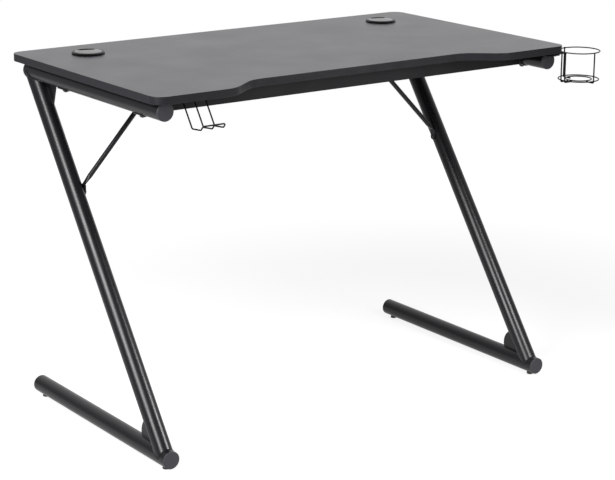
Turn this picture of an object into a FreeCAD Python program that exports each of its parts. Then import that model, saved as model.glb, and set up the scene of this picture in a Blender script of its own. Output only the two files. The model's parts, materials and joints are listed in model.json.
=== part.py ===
import FreeCAD, Part
import math
import os
from FreeCAD import Vector

# Gaming desk: a laminated top on two Z-shaped tube frames, with a wire cup holder and a wire headset hook.
# X runs to the user's right, Y to the rear and Z up. Lengths are in millimetres and angles in degrees.
# Each piece is built with x = 0 at mid width, y = 0 at the front edge and z = 0 on the floor.

# Desktop
desk_width = 1000.0
desk_depth = 570.0
desk_height = 730.0
board_thickness = 15.0
corner_radius = 25.0
bay_depth = 51.5
bay_side_land = 171.0
bay_slope_run = 70.0
bay_blend_radius = 60.0
band_thickness = 1.0
band_round = 0.6

# Cable grommets
grommet_side_inset = 126.0
grommet_rear_inset = 99.5
grommet_hole_diameter = 60.0
grommet_fit = 0.2
flange_diameter = 67.0
flange_height = 4.8
flange_lip = 2.8
flange_bevel = 2.2
sleeve_wall = 1.8
sleeve_tail = 3.0
ledge_width = 2.0
ledge_thickness = 1.6
cap_thickness = 2.8
cap_crown = 0.7
cap_gap = 0.3
notch_width = 35.0
notch_depth = 16.0
notch_round = 6.0
notch_turn = 17.0

# Side frames
frame_side_inset = 31.5
tube_diameter = 35.5
tube_wall = 1.5
weld_gap = 0.1
top_front_inset = 24.0
top_rear_inset = 33.0
foot_front_inset = 21.0
foot_rear_inset = 31.0
leg_foot_setback = 19.6
leg_top_setback = 9.2
gusset_thickness = 4.0
upper_gusset_inset = 10.0
upper_gusset_tube_reach = 81.0
upper_gusset_leg_reach = 96.0
lower_gusset_radius = 33.0
lower_gusset_forward = 51.5
lower_gusset_rise = 27.5

# Tube end caps
plug_length = 8.0
plug_wall = 2.0
plug_fit = 0.15
plug_flange = 3.0
plug_round = 1.2

# Levelling glides and their nuts
glide_height = 5.0
glide_diameter = 14.0
glide_taper = 0.8
glide_chamfer = 0.8
glide_seat_gap = 0.3
glide_end_inset = 18.0
stem_diameter = 6.0
stem_length = 20.0
thread_clearance = 0.1
hole_clearance = 0.4
nut_diameter = 12.0
nut_height = 8.0

# Rails, saddles and their bolts
rail_height = 33.0
rail_depth = 25.0
rail_wall = 1.5
rail_end_share = 0.55
front_rail_inset = 101.6
rear_rail_inset = 176.0
saddle_thickness = 2.0
saddle_width = 29.0
saddle_upper_angle = 35.0
saddle_lower_angle = 125.0
bolt_diameter = 6.0
bolt_grip = 14.0
bolt_head_diameter = 13.0
bolt_head_height = 4.0

# Screws up through the rails into the board
rail_screw_inset = 108.5
rail_screw_count = 4
screw_diameter = 4.0
screw_head_diameter = 9.0
screw_head_height = 2.6
screw_bite = 10.0

# Braces
brace_diameter = 10.0
brace_tab_width = 13.0
brace_tab_thickness = 3.0
brace_tab_run = 15.0
brace_flat_length = 20.0
brace_low_height = 475.0
brace_reach = 201.5
brace_screw_diameter = 5.0
brace_screw_length = 14.0
brace_screw_head_diameter = 10.0
brace_screw_head_height = 3.4
brace_nut_diameter = 10.0
brace_nut_height = 5.0

# Cup holder of bent wire
cup_ring_diameter = 85.0
cup_base_diameter = 55.0
cup_height = 60.0
ring_wire_diameter = 2.5
cup_wire_diameter = 3.0
cup_wire_bend = 5.0
cup_pair_spacing = 11.0
cup_edge_gap = 0.4
cup_spoke_tail = 3.0
cup_plate_length = 32.0
cup_plate_depth = 15.0
cup_plate_edge_inset = 15.0
cup_loop_inset = 4.0
cup_screw_pitch = 15.0

# Headset hook of bent wire
hook_centre_offset = 122.5
hook_wire_diameter = 3.0
hook_wire_pitch = 24.5
hook_weld_run = 14.0
hook_drop = 56.0
hook_slope_run = 38.0
hook_seat_run = 30.0
hook_seat_rise = 2.5
hook_tip_run = 7.0
hook_tip_rise = 8.5
hook_bend = 5.0
hook_plate_width = 62.0
hook_plate_depth = 24.0

# Fixing plates of the two wire fittings
plate_thickness = 2.0
plate_corner = 3.0
plate_screw_length = 14.0
plate_screw_head_diameter = 7.0

# One overrun serves all cuts
overrun = 5.0

# Places that follow from the sizes above
tube_radius = tube_diameter / 2
bore_radius = tube_radius - tube_wall
frame_x = desk_width / 2 - frame_side_inset
underside = desk_height - board_thickness
bay_mouth = desk_width / 2 - bay_side_land
bay_floor = bay_mouth - bay_slope_run
top_axis_z = underside - weld_gap - tube_radius
foot_axis_z = glide_height + tube_radius
top_end = desk_depth - top_rear_inset
foot_end = desk_depth - foot_rear_inset
leg_foot = Vector(0, foot_front_inset + leg_foot_setback, foot_axis_z)
leg_top = Vector(0, top_end - leg_top_setback, top_axis_z)
leg_way = (leg_top - leg_foot).normalize()
rail_ys = {"front": front_rail_inset, "rear": desk_depth - rear_rail_inset}
rail_bottom = underside - rail_height
rail_screw_pitch = 2 * (frame_x - rail_screw_inset) / (rail_screw_count - 1)
saddle_inner = tube_radius + weld_gap
saddle_outer = saddle_inner + saddle_thickness
grommet_x = desk_width / 2 - grommet_side_inset
grommet_y = desk_depth - grommet_rear_inset
sleeve_radius = grommet_hole_diameter / 2 - grommet_fit
hook_plate_bottom = underside - plate_thickness
cup_weld_offset = (ring_wire_diameter + cup_wire_diameter) / 2 + weld_gap
cup_upright_radius = cup_ring_diameter / 2 + cup_weld_offset
cup_pair_reach = math.sqrt(cup_upright_radius ** 2 - (cup_pair_spacing / 2) ** 2)
cup_x = desk_width / 2 + cup_edge_gap + cup_wire_diameter / 2 + cup_pair_reach
cup_y = (top_front_inset - plug_flange) / 2
cup_top_z = underside - weld_gap - cup_wire_diameter / 2
cup_plate_bottom = cup_top_z - cup_wire_diameter / 2 - weld_gap - plate_thickness
cup_bottom_z = cup_top_z - cup_height
cup_spoke_z = cup_bottom_z - cup_weld_offset
cup_spoke_end = cup_base_diameter / 2 - cup_spoke_tail
hook_x = hook_centre_offset - desk_width / 2
hook_back = front_rail_inset - rail_depth / 2 - weld_gap
hook_z = hook_plate_bottom - hook_wire_diameter / 2
hook_tip_y = hook_back - hook_weld_run - hook_slope_run - hook_seat_run - hook_tip_run

# The origin is at the middle of the whole outline on the floor, cup holder and hook included
cup_reach = (cup_ring_diameter + ring_wire_diameter) / 2
cup_front_y = cup_y - cup_upright_radius - cup_wire_diameter / 2
right_reach = cup_x + cup_reach
front_reach = min(0, cup_front_y, hook_tip_y - hook_wire_diameter / 2)
origin = Vector((right_reach - desk_width / 2) / 2, (front_reach + desk_depth) / 2, 0)

sides = {"left": -1, "right": 1}
up = Vector(0, 0, 1)
ahead = Vector(0, 1, 0)
across = Vector(1, 0, 0)


def save(name, *solids):
    """Move finished solids to the origin and write them as one node."""
    shape = solids[0] if len(solids) == 1 else Part.makeCompound(solids)
    moved = shape.copy()
    moved.translate(-origin)
    moved.exportStep("parts/" + name + ".step")


def rod(start, way, length, diameter):
    """Round bar from a point along a direction."""
    return Part.makeCylinder(diameter / 2, length, start, way)


def tube(start, way, length):
    """Frame tube with its wall."""
    bore = rod(start - way * overrun, way, length + 2 * overrun, 2 * bore_radius)
    return rod(start, way, length, tube_diameter).cut(bore)


def box(x0, x1, y0, y1, z0, z1):
    """Block between two corners."""
    return Part.makeBox(x1 - x0, y1 - y0, z1 - z0, Vector(x0, y0, z0))


def plate(points, way):
    """Flat plate of a plan given by its corners, as thick as way is long."""
    return Part.Face(Part.makePolygon(points + points[:1])).extrude(way)


def turned(profile, foot):
    """Solid turned about a vertical line through foot, from (radius, height) points."""
    points = [foot + Vector(radius, 0, height) for radius, height in profile]
    return Part.Face(Part.makePolygon(points + points[:1])).revolve(foot, up)


def rounded_path(points, radii, closed):
    """Lines through the points with a tangent arc of its own radius at each corner."""
    count = len(points)
    corners = range(count) if closed else range(1, count - 1)
    arcs = {}
    for i in corners:
        before, corner, after = points[i - 1], points[i], points[(i + 1) % count]
        back = (before - corner).normalize()
        on = (after - corner).normalize()
        half = back.getAngle(on) / 2
        reach = radii[i] / math.tan(half)
        inward = (back + on).normalize()
        centre = corner + inward * (radii[i] / math.sin(half))
        arcs[i] = (corner + back * reach, centre - inward * radii[i], corner + on * reach)
    edges = []
    for i in range(count if closed else count - 1):
        j = (i + 1) % count
        start = arcs[i][2] if i in arcs else points[i]
        end = arcs[j][0] if j in arcs else points[j]
        edges.append(Part.makeLine(start, end))
        if j in arcs:
            edges.append(Part.Arc(*arcs[j]).toShape())
    return Part.Wire(Part.__sortEdges__(edges))


def bent_wire(points, bends, diameter):
    """Wire of one diameter through the points, with a bend radius for each."""
    path = rounded_path(points, bends, False)
    section = Part.Wire(Part.Circle(points[0], points[1] - points[0], diameter / 2).toShape())
    return path.makePipeShell([section], True, False)


def ring(centre, diameter, wire):
    """Closed ring of round wire lying flat."""
    return Part.makeTorus(diameter / 2, wire / 2, centre, up)


def pan_screw(seat, way, head_diameter, head_height, diameter, length):
    """Screw whose head stands off the seat against way, with its shank along way."""
    crown = head_diameter / 2
    dome = (crown ** 2 + head_height ** 2) / (2 * head_height)
    ball = Part.makeSphere(dome, seat + way * (dome - head_height))
    head = rod(seat - way * head_height, way, head_height, head_diameter).common(ball)
    return head.fuse(rod(seat - way * weld_gap, way, length + weld_gap, diameter)).removeSplitter()


def desktop_outline(inset):
    """Plan of the desktop with its front bay, drawn in by inset all round."""
    turn = math.atan2(bay_depth, bay_slope_run)
    drawn = inset * math.tan(turn / 2)
    mouth = bay_mouth + drawn
    floor = bay_floor + drawn
    half = desk_width / 2 - inset
    rear = desk_depth - inset
    corner = corner_radius - inset
    bay = bay_depth + inset
    outer = bay_blend_radius - inset
    inner = bay_blend_radius + inset
    plan = [(-half, inset, corner), (-mouth, inset, outer), (-floor, bay, inner), (floor, bay, inner),
            (mouth, inset, outer), (half, inset, corner), (half, rear, corner), (-half, rear, corner)]
    points = [Vector(x, y, underside) for x, y, radius in plan]
    radii = [radius for x, y, radius in plan]
    return Part.Face(rounded_path(points, radii, True))


def rail_screw_places():
    """Feet of the screws that hold the board, on the underside of both rails."""
    first = rail_screw_inset - frame_x
    return [Vector(first + i * rail_screw_pitch, y, rail_bottom) for y in rail_ys.values()
            for i in range(rail_screw_count)]


def cup_screw_places():
    """Feet of the screws in the cup holder's plate."""
    middle = desk_width / 2 - cup_plate_edge_inset - cup_plate_length / 2
    return [Vector(middle + step * cup_screw_pitch / 2, cup_y, cup_plate_bottom) for step in (-1, 1)]


def hook_screw_places():
    """Feet of the screws in the hook's plate, between its wires."""
    y = hook_back - hook_plate_depth / 2
    return [Vector(hook_x + step * hook_wire_pitch / 2, y, hook_plate_bottom) for step in (-1, 1)]


def build_desktop():
    """Board with its holes, and the edging strip round it."""
    solid = desktop_outline(0).extrude(up * board_thickness)
    levels = (underside, desk_height)
    rims = [e for e in solid.Edges if any(all(abs(v.Z - z) < band_round for v in e.Vertexes) for z in levels)]
    core = desktop_outline(band_thickness).extrude(up * board_thickness)
    save("edge_band", solid.makeFillet(band_round, rims).cut(core))
    holes = []
    for side in sides.values():
        foot = Vector(side * grommet_x, grommet_y, underside - overrun)
        holes.append(rod(foot, up, board_thickness + 2 * overrun, grommet_hole_diameter))
    pilot = screw_diameter + 2 * thread_clearance
    for foot in rail_screw_places():
        holes.append(rod(Vector(foot.x, foot.y, underside - overrun), up, overrun + screw_bite, pilot))
    for foot in cup_screw_places() + hook_screw_places():
        bite = foot.z + plate_screw_length - underside
        holes.append(rod(Vector(foot.x, foot.y, underside - overrun), up, overrun + bite, pilot))
    save("desktop_board", core.cut(holes))


def build_grommet(name, side):
    """Flanged sleeve in the cable hole, and the notched cap that turns in it."""
    foot = Vector(side * grommet_x, grommet_y, desk_height)
    rim = flange_diameter / 2
    seat = sleeve_radius - sleeve_wall
    ledge_top = flange_height - cap_thickness - cap_gap
    ledge_low = ledge_top - ledge_thickness
    tail = -board_thickness - sleeve_tail
    lip = seat - ledge_width
    sleeve = turned([(sleeve_radius, tail), (sleeve_radius, 0), (rim, 0), (rim, flange_lip),
                     (rim - flange_bevel, flange_height), (seat, flange_height), (seat, ledge_top),
                     (lip, ledge_top), (lip, ledge_low), (seat, ledge_low - ledge_width), (seat, tail)], foot)
    save("grommet_sleeve_" + name, sleeve)
    radius = seat - cap_gap
    low = flange_height - cap_thickness
    crown = (radius ** 2 + cap_crown ** 2) / (2 * cap_crown)
    ball = Part.makeSphere(crown, foot + up * (flange_height + cap_crown - crown))
    disc = rod(foot + up * low, up, cap_thickness + cap_crown, 2 * radius).common(ball)
    half = notch_width / 2
    inner = radius - notch_depth
    outer = radius + overrun
    plan = [Vector(x, y, 0) + foot for x, y in ((-half, inner), (half, inner), (half, outer), (-half, outer))]
    notch = Part.Face(rounded_path(plan, [notch_round] * len(plan), True))
    notch.rotate(foot, up, -notch_turn)
    save("grommet_cap_" + name, disc.cut(notch.extrude(up * (flange_height + overrun))))


def plug(end, out):
    """Cap in a tube end: a rounded flange and a hollow plug, with out pointing away from the tube."""
    flange = rod(end + out * weld_gap, out, plug_flange - weld_gap, tube_diameter)
    face_y = (end + out * plug_flange).y
    rims = [e for e in flange.Edges if e.Closed and abs(e.CenterOfMass.y - face_y) < weld_gap]
    flange = flange.makeFillet(plug_round, rims)
    fit = 2 * (bore_radius - plug_fit)
    stem = rod(end - out * plug_length, out, plug_length + plug_flange / 2, fit)
    hollow = rod(end - out * (plug_length + overrun), out, plug_length + overrun, fit - 2 * plug_wall)
    return flange.fuse(stem.cut(hollow)).removeSplitter()


def bore_nut(seat, way, bore, diameter, height, thread):
    """Round nut lying on the inside of a wall, shaped to it, with way pointing into the bore."""
    body = rod(seat - way * overrun, way, height + overrun, diameter).common(bore)
    return body.cut(rod(seat - way * overrun, way, height + 2 * overrun, thread + 2 * thread_clearance))


def leg_y(z):
    """Y of the leg's axis at a height."""
    return leg_foot.y + (z - leg_foot.z) * leg_way.y / leg_way.z


def build_side_frame(name, side):
    """Top tube, leaning leg and foot tube, with their gussets, end caps, glides and glide nuts."""
    shift = Vector(side * frame_x, 0, 0)
    starts = {"top": shift + Vector(0, top_front_inset, top_axis_z),
              "foot": shift + Vector(0, foot_front_inset, foot_axis_z)}
    lengths = {"top": top_end - top_front_inset, "foot": foot_end - foot_front_inset}

    def cope(part):
        """Space that a tube takes, with the weld's root gap."""
        start = starts[part] - ahead * tube_diameter
        return rod(start, ahead, lengths[part] + 2 * tube_diameter, tube_diameter + 2 * weld_gap)

    top = tube(starts["top"], ahead, lengths["top"])
    drill = bolt_diameter + 2 * hole_clearance
    for y in rail_ys.values():
        top = top.cut(rod(shift + Vector(0, y, top_axis_z), -up, tube_radius + overrun, drill))
    save("top_tube_" + name, top)

    foot = tube(starts["foot"], ahead, lengths["foot"])
    glide_ys = {"front": foot_front_inset + glide_end_inset, "rear": foot_end - glide_end_inset}
    bore = rod(starts["foot"], ahead, lengths["foot"], 2 * bore_radius)
    for y in glide_ys.values():
        foot = foot.cut(rod(shift + Vector(0, y, foot_axis_z), -up, tube_radius + overrun,
                            stem_diameter + 2 * hole_clearance))
    save("foot_tube_" + name, foot)

    run = (leg_top - leg_foot).Length
    leg_solid = rod(shift + leg_foot, leg_way, run, tube_diameter)
    leg = leg_solid.cut(rod(shift + leg_foot, leg_way, run, 2 * bore_radius)).cut([cope("top"), cope("foot")])
    middle = Vector(side * frame_x, leg_y(brace_low_height), brace_low_height)
    drill = brace_screw_diameter + 2 * hole_clearance
    save("leg_tube_" + name, leg.cut(rod(middle, across * -side, tube_radius + overrun, drill)))

    leg_space = rod(shift + leg_foot, leg_way, run, tube_diameter + 2 * weld_gap)
    spaces = [cope("top"), cope("foot"), leg_space]
    slab = across * gusset_thickness
    back = shift - slab / 2
    corner = back + leg_top - across * side * upper_gusset_inset
    plan = [corner, corner - ahead * upper_gusset_tube_reach, corner - leg_way * upper_gusset_leg_reach]
    save("upper_gusset_" + name, plate(plan, slab).cut(spaces))
    corner = back + leg_foot
    reach = lower_gusset_forward + 2 * lower_gusset_radius
    plan = [corner, corner + ahead * reach, corner + leg_way * reach]
    hub = corner + Vector(0, lower_gusset_forward, lower_gusset_rise)
    disc = rod(hub, across, gusset_thickness, 2 * lower_gusset_radius)
    save("lower_gusset_" + name, plate(plan, slab).common(disc).cut(spaces))

    nuts = []
    for part, start in starts.items():
        save("%s_cap_front_%s" % (part, name), plug(start, -ahead))
        save("%s_cap_rear_%s" % (part, name), plug(start + ahead * lengths[part], ahead))
    for end, y in glide_ys.items():
        place = shift + Vector(0, y, 0)
        radius = glide_diameter / 2
        stem = stem_diameter / 2
        top_z = glide_height - glide_seat_gap
        tip = top_z + stem_length
        glide = turned([(0, 0), (radius - glide_chamfer, 0), (radius, glide_chamfer),
                        (radius - glide_taper, top_z), (stem, top_z), (stem, tip), (0, tip)], place)
        save("glide_%s_%s" % (end, name), glide)
        seat = place + up * (glide_height + tube_wall)
        nuts.append(bore_nut(seat, up, bore, nut_diameter, nut_height, stem_diameter))
    return nuts


def build_saddle(end, name, side, y):
    """Bent plate round the inner and lower side of a top tube, with its bolt hole."""
    axis = Vector(side * frame_x, y, top_axis_z)
    low, high = axis.y - saddle_width / 2, axis.y + saddle_width / 2
    plan = [(saddle_inner, low), (saddle_outer, low), (saddle_outer, high), (saddle_inner, high)]
    points = [Vector(axis.x - side * r, at, axis.z) for r, at in plan]
    face = Part.Face(Part.makePolygon(points + points[:1]))
    face.rotate(axis, ahead, side * saddle_upper_angle)
    bent = face.revolve(axis, ahead, -side * (saddle_upper_angle + saddle_lower_angle))
    drill = rod(axis, -up, saddle_outer + overrun, bolt_diameter + 2 * hole_clearance)
    save("saddle_%s_%s" % (end, name), bent.cut(drill))


def build_rail(end, y):
    """Rectangular tube under the desktop, hollowed at its ends to sit on the saddles."""
    half = frame_x - tube_radius * rail_end_share
    front, rear = y - rail_depth / 2, y + rail_depth / 2
    rail = box(-half, half, front, rear, rail_bottom, underside)
    rail = rail.cut(box(-half - overrun, half + overrun, front + rail_wall, rear - rail_wall,
                        rail_bottom + rail_wall, underside - rail_wall))
    cuts = []
    for side in sides.values():
        start = Vector(side * frame_x, front - overrun, top_axis_z)
        cuts.append(rod(start, ahead, rail_depth + 2 * overrun, 2 * (saddle_outer + weld_gap)))
    drill = screw_diameter + 2 * hole_clearance
    for foot in rail_screw_places():
        if foot.y == y:
            cuts.append(rod(foot - up * overrun, up, rail_height + 2 * overrun, drill))
    drill = brace_screw_diameter + 2 * hole_clearance
    if end == "rear":
        for side in sides.values():
            cuts.append(rod(brace_high(side), ahead, rail_wall + overrun, drill))
    save(end + "_rail", rail.cut(cuts))


def brace_high(side):
    """Hole of a brace's upper tab, on the front face of the rear rail."""
    x = side * (frame_x - tube_radius - brace_reach)
    return Vector(x, rail_ys["rear"] - rail_depth / 2 - weld_gap, rail_bottom + rail_height / 2)


def oval(centre, long_way, short_way):
    """Flattened section of a brace."""
    return Part.Wire(Part.Ellipse(centre + long_way * brace_tab_width / 2,
                                  centre + short_way * brace_tab_thickness / 2, centre).toShape())


def flat_tab(hole, run, wide_way, thick_way):
    """Flat end of a brace: round about its hole, and straight along run to the neck."""
    half = wide_way * brace_tab_width / 2
    through = brace_tab_thickness + 2 * overrun
    plan = [hole + half, hole - half, hole - half + run, hole + half + run]
    slab = plate(plan, thick_way * brace_tab_thickness)
    tab = slab.fuse(rod(hole, thick_way, brace_tab_thickness, brace_tab_width))
    drill = brace_screw_diameter + 2 * hole_clearance
    return tab.cut(rod(hole - thick_way * overrun, thick_way, through, drill))


def build_brace(name, side):
    """Round bar with both ends pressed flat: its lower tab on the leg, the upper one on the rear rail."""
    inward = across * -side
    thick = brace_tab_thickness
    seat = inward * (tube_radius + weld_gap)
    low = Vector(side * frame_x, leg_y(brace_low_height), brace_low_height) + seat
    low_top = low + inward * thick / 2 + up * brace_tab_run
    high = brace_high(side)
    high_rod = high - ahead * brace_diameter / 2
    slope = Vector(high.x - low_top.x, 0, high.z - low_top.z).normalize()
    tab_start = high - slope * brace_tab_run
    rod_end = high_rod - slope * (brace_tab_run + brace_flat_length)
    way = (rod_end - low_top).normalize()
    rod_start = low_top + way * brace_flat_length

    cross = slope.cross(ahead)
    low_tab = flat_tab(low, up * brace_tab_run, ahead, inward)
    high_tab = flat_tab(high, tab_start - high, cross, -ahead)
    low_end = Part.Wire(Part.Circle(rod_start, way, brace_diameter / 2).toShape())
    high_end = Part.Wire(Part.Circle(rod_end, way, brace_diameter / 2).toShape())
    low_neck = Part.makeLoft([oval(low_top, ahead, across), low_end], True)
    high_neck = Part.makeLoft([high_end, oval(tab_start - ahead * thick / 2, cross, ahead)], True)
    bar = rod(rod_start, way, (rod_end - rod_start).Length, brace_diameter)
    save("brace_" + name, bar.fuse([low_neck, high_neck, low_tab, high_tab]).removeSplitter())
    head = (brace_screw_head_diameter, brace_screw_head_height, brace_screw_diameter, brace_screw_length)
    screws = [pan_screw(low + inward * thick, -inward, *head), pan_screw(high - ahead * thick, ahead, *head)]
    start = leg_foot + across * side * frame_x
    leg_bore = rod(start, leg_way, (leg_top - leg_foot).Length, 2 * bore_radius)
    wall = low - inward * (weld_gap + tube_wall)
    inside = high + ahead * (weld_gap + rail_wall)
    rail_bore = rod(inside, ahead, brace_nut_height, 2 * brace_nut_diameter)
    nut = (brace_nut_diameter, brace_nut_height, brace_screw_diameter)
    return screws, [bore_nut(wall, -inward, leg_bore, *nut), bore_nut(inside, ahead, rail_bore, *nut)]


def build_fixings():
    """Bolts and nuts of the rails, and the screws that hold the board on them."""
    bolts, nuts = [], []
    for side in sides.values():
        for y in rail_ys.values():
            axis = Vector(side * frame_x, y, top_axis_z)
            seat = axis - up * (saddle_outer + weld_gap)
            bolts.append(pan_screw(seat, up, bolt_head_diameter, bolt_head_height, bolt_diameter, bolt_grip))
            bore = rod(axis - ahead * nut_diameter, ahead, 2 * nut_diameter, 2 * bore_radius)
            nuts.append(bore_nut(axis - up * bore_radius, up, bore, nut_diameter, nut_height, bolt_diameter))
    save("rail_bolts", *bolts)
    save("rail_nuts", *nuts)
    length = rail_height + screw_bite - weld_gap
    screws = [pan_screw(foot, up, screw_head_diameter, screw_head_height, screw_diameter, length)
              for foot in rail_screw_places()]
    save("desktop_screws", *screws)


def fixing_plate(x0, x1, y0, y1, places):
    """Thin plate under the board with rounded corners and screw holes, its lower face at the screws' feet."""
    bottom = places[0].z
    plan = [Vector(x, y, bottom) for x, y in ((x0, y0), (x1, y0), (x1, y1), (x0, y1))]
    slab = Part.Face(rounded_path(plan, [plate_corner] * len(plan), True)).extrude(up * plate_thickness)
    drill = screw_diameter + 2 * hole_clearance
    return slab.cut([rod(p - up * overrun, up, plate_thickness + 2 * overrun, drill) for p in places])


def plate_screws(places):
    """Screws that hold a fixing plate."""
    return [pan_screw(p, up, plate_screw_head_diameter, screw_head_height, screw_diameter, plate_screw_length)
            for p in places]


def build_cup_holder():
    """Wire basket at the right front corner: rings, wires bent round the lowest, and the carrying loop."""
    top = Vector(cup_x, cup_y, cup_top_z)
    bottom = Vector(cup_x, cup_y, cup_bottom_z)
    save("cup_top_ring", ring(top, cup_ring_diameter, ring_wire_diameter))
    save("cup_bottom_ring", ring(bottom, cup_ring_diameter, ring_wire_diameter))
    save("cup_base_ring", ring(bottom, cup_base_diameter, ring_wire_diameter))
    hub = Vector(cup_x, cup_y, cup_spoke_z)
    rise = up * (cup_top_z - cup_spoke_z + ring_wire_diameter / 2)
    for end, out in (("front", -ahead), ("rear", ahead)):
        foot = hub + out * cup_upright_radius
        route = [hub + out * cup_spoke_end, foot, foot + rise]
        save("cup_upright_" + end, bent_wire(route, [cup_weld_offset] * len(route), cup_wire_diameter))
    half = ahead * cup_pair_spacing / 2
    foot = hub - across * cup_pair_reach
    inner = hub - across * math.sqrt(cup_spoke_end ** 2 - (cup_pair_spacing / 2) ** 2)
    shoulder = foot + up * (cup_top_z - cup_spoke_z)
    plate_x = desk_width / 2 - cup_plate_edge_inset
    loop = Vector(plate_x - cup_plate_length + cup_loop_inset, cup_y, cup_top_z)
    route = [inner + half, foot + half, shoulder + half, loop + half,
             loop - half, shoulder - half, foot - half, inner - half]
    turns = (loop + half, loop - half)
    bends = [cup_wire_bend if point in turns else cup_weld_offset for point in route]
    save("cup_mount_wire", bent_wire(route, bends, cup_wire_diameter))
    places = cup_screw_places()
    depth = cup_plate_depth / 2
    save("cup_plate", fixing_plate(plate_x - cup_plate_length, plate_x, cup_y - depth, cup_y + depth, places))
    save("cup_screws", *plate_screws(places))


def build_hook():
    """Headset hook: an outer wire bent from plate to plate across its tips, and a middle wire."""
    start = Vector(hook_x, hook_back, hook_z)
    bend = start - ahead * hook_weld_run
    seat = bend - ahead * hook_slope_run - up * hook_drop
    lip = seat - ahead * hook_seat_run + up * hook_seat_rise
    tip = lip - ahead * hook_tip_run + up * hook_tip_rise
    route = [start, bend, seat, lip, tip]
    pitch = across * hook_wire_pitch
    outer = [p - pitch for p in route] + [p + pitch for p in reversed(route)]
    save("hook_outer_wire", bent_wire(outer, [hook_bend] * len(outer), hook_wire_diameter))
    rising = (tip - lip).normalize()
    middle = route[:-1] + [tip - rising * (hook_wire_diameter / 2 + weld_gap)]
    save("hook_middle_wire", bent_wire(middle, [hook_bend] * len(middle), hook_wire_diameter))
    places = hook_screw_places()
    half = hook_plate_width / 2
    front = hook_back - hook_plate_depth
    save("hook_plate", fixing_plate(hook_x - half, hook_x + half, front, hook_back, places))
    save("hook_screws", *plate_screws(places))


def main():
    """Build every node."""
    os.makedirs("parts", exist_ok=True)
    build_desktop()
    glide_nuts, brace_screws, brace_nuts = [], [], []
    for name, side in sides.items():
        build_grommet(name, side)
        glide_nuts += build_side_frame(name, side)
        screws, nuts = build_brace(name, side)
        brace_screws += screws
        brace_nuts += nuts
        for end, y in rail_ys.items():
            build_saddle(end, name, side, y)
    save("glide_nuts", *glide_nuts)
    save("brace_screws", *brace_screws)
    save("brace_nuts", *brace_nuts)
    for end, y in rail_ys.items():
        build_rail(end, y)
    build_fixings()
    build_cup_holder()
    build_hook()


main()
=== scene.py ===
"""Looks of the gaming desk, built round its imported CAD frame.

The CAD nodes keep their shapes and get procedural finishes. Screws, glides and welds are modelled
here in full. Lengths are in metres, in the part's own frame: X to the user's right, Y to the rear
and Z up.
"""

from __future__ import annotations

import json
import logging
import math
from dataclasses import dataclass, field
from enum import Enum
from typing import Dict, List, Optional, Sequence, Tuple, Union

import bmesh
import bpy
from mathutils import Matrix, Vector

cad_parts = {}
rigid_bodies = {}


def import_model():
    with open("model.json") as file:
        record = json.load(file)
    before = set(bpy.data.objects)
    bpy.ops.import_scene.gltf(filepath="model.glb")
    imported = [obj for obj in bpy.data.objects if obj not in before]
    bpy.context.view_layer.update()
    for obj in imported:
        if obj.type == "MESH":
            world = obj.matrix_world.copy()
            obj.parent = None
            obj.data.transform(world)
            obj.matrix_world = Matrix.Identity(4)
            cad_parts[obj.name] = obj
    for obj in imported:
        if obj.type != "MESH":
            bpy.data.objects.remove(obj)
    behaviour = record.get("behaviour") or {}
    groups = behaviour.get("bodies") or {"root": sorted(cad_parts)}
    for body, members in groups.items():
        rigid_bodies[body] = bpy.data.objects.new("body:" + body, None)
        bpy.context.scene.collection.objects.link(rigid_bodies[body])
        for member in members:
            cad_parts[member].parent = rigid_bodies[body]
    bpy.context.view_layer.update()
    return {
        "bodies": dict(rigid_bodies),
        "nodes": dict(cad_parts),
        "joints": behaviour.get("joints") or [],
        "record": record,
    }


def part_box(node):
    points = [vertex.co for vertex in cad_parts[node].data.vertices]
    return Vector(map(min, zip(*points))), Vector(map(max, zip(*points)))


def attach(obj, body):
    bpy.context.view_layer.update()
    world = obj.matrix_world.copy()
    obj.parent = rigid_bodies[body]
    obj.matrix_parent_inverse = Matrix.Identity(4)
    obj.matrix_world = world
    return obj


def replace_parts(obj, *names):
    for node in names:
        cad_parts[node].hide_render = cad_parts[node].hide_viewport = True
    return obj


Rgb = Tuple[float, float, float]
Point = Tuple[float, float, float]
Ring = List[Vector]
Box = Tuple[Vector, Vector]
Mesh = bmesh.types.BMesh
Socket = bpy.types.NodeSocket
Feed = Union[Socket, float, Sequence[float]]
Feeds = Dict[Union[str, int], Feed]

LOG = logging.getLogger("gaming_desk")
MM = 0.001
SAME_POINT = 1e-6
SHARP_EDGE = math.radians(38)
WHITE = (1, 1, 1, 1)
DESK = "desk"
SIDES = {"left": -1, "right": 1}
ENDS = ("front", "rear")
UP = Vector((0, 0, 1))
REARWARD = Vector((0, 1, 0))
ACROSS = Vector((1, 0, 0))


class Slot(Enum):
    """Finishes by the record's material slots, with one more for the grommets' sleeves."""

    LAMINATE = "laminate"
    EDGING = "edging"
    GROMMET = "grommet_plastic"
    SLEEVE = "sleeve_plastic"
    CAP = "cap_plastic"
    GLIDE = "glide_plastic"
    COAT = "powder_coat"
    WIRE = "coated_wire"
    BLACK_STEEL = "black_steel"
    ZINC = "zinc_steel"


class Recess(Enum):
    """Drive recess in a screw head, by the number of points on each of its edges."""

    HEX = 4
    CROSS = 3


class Mix(Enum):
    """What a mix node blends, with the places of its two inputs and its result."""

    COLOR = ("RGBA", 6, 7, 2)
    VALUE = ("FLOAT", 2, 3, 0)


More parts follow.
